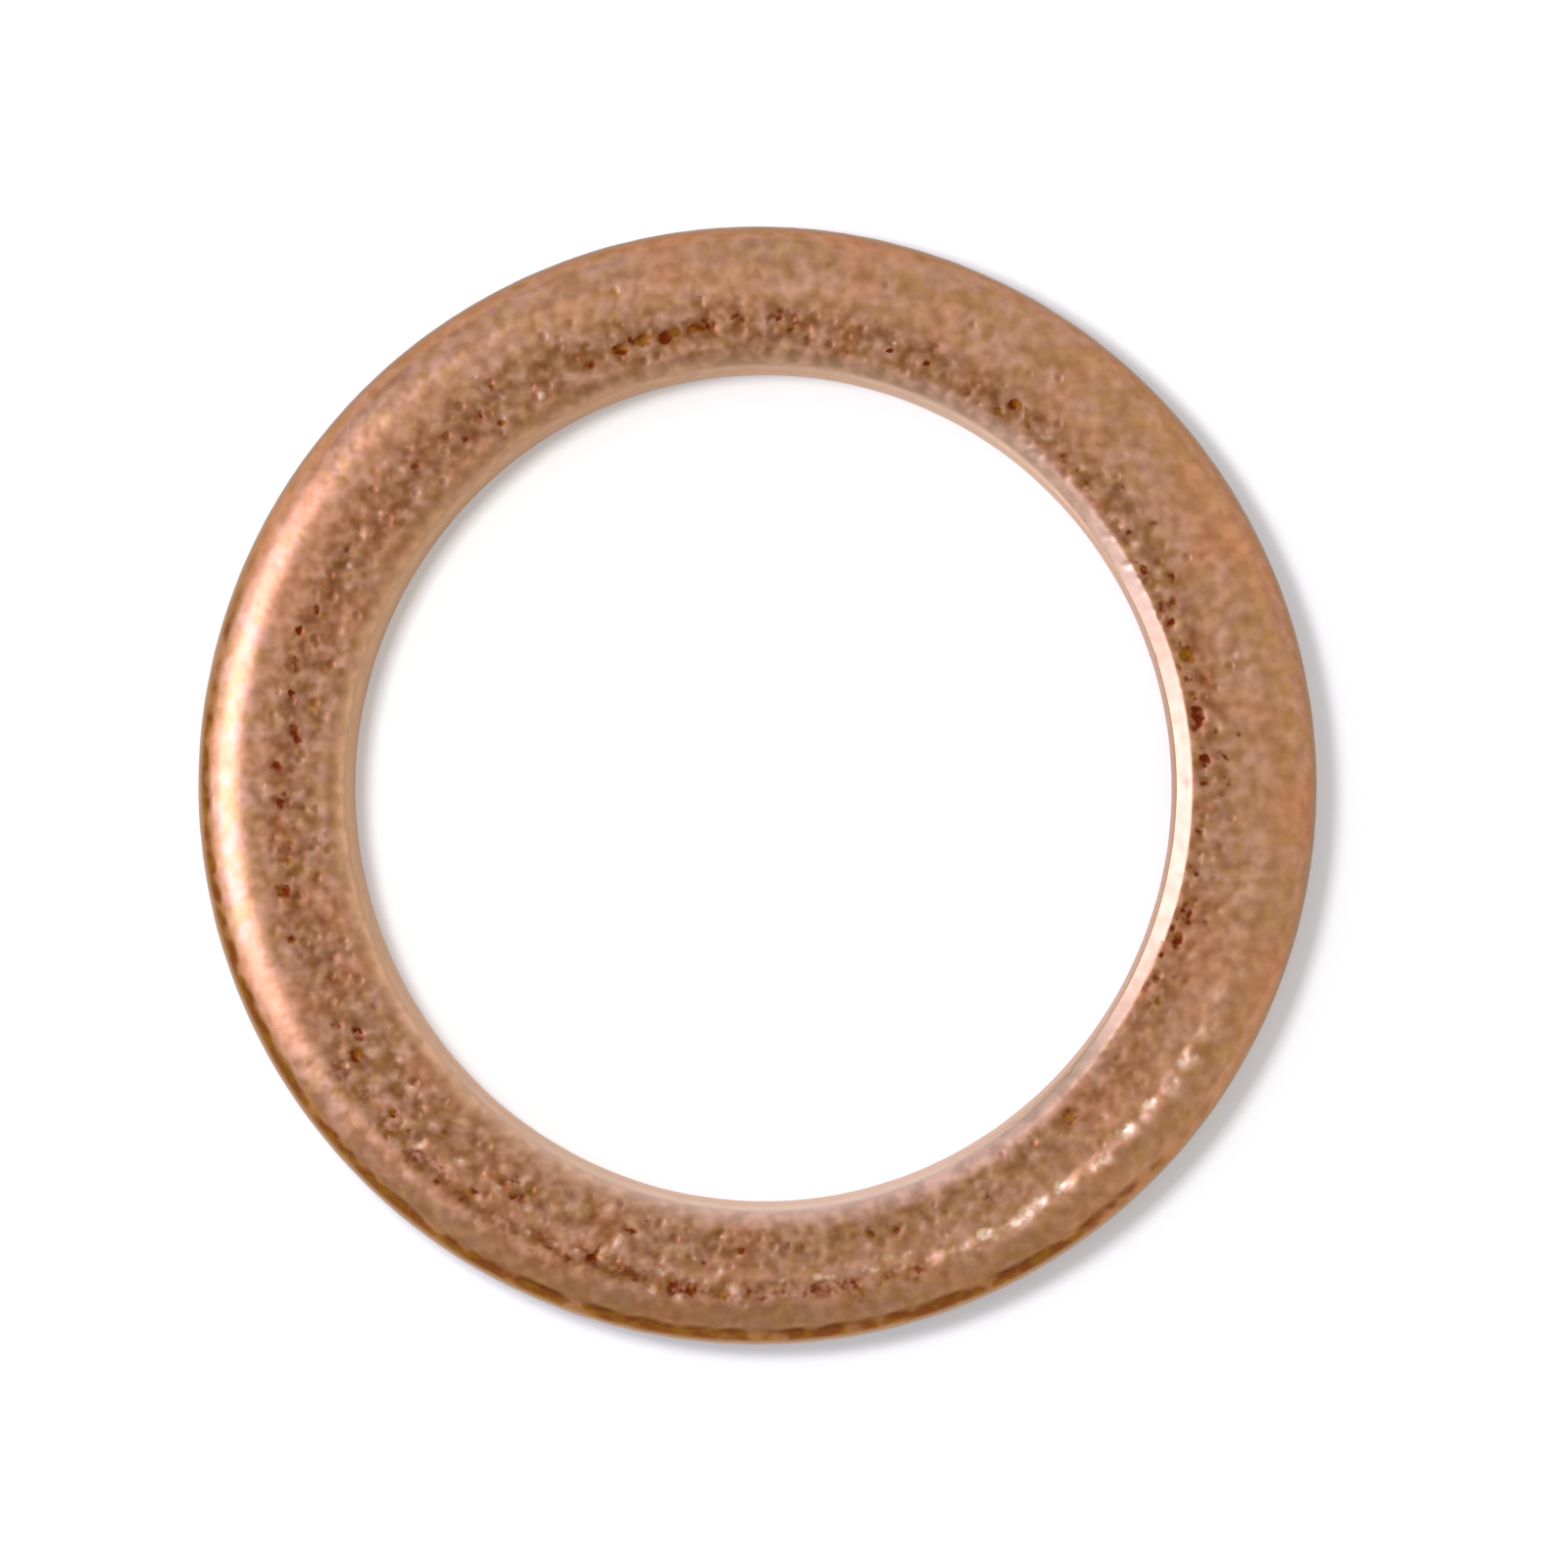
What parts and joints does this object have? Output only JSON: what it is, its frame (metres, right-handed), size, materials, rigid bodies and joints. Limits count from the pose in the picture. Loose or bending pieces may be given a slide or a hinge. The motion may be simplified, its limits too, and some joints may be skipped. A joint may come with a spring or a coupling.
{
  "type": "crush washer",
  "caption": "Hollow copper sealing ring folded from sheet, with a half-round rim, flat seal faces and a seam underneath, crushed under a threaded plug to seal it.",
  "frame": {"origin": "on the ring's axis, in the plane of the lower face that it lies on", "axes": "+Z along the ring's axis, away from the seamed face"},
  "size_m": [0.0218, 0.0218, 0.002],
  "materials": {
    "annealed_copper": "annealed copper, satin on the bends and finely pitted on the flats"
  },
  "bodies": {
    "root": {"crush_washer": "annealed_copper"}
  },
  "joints": []
}
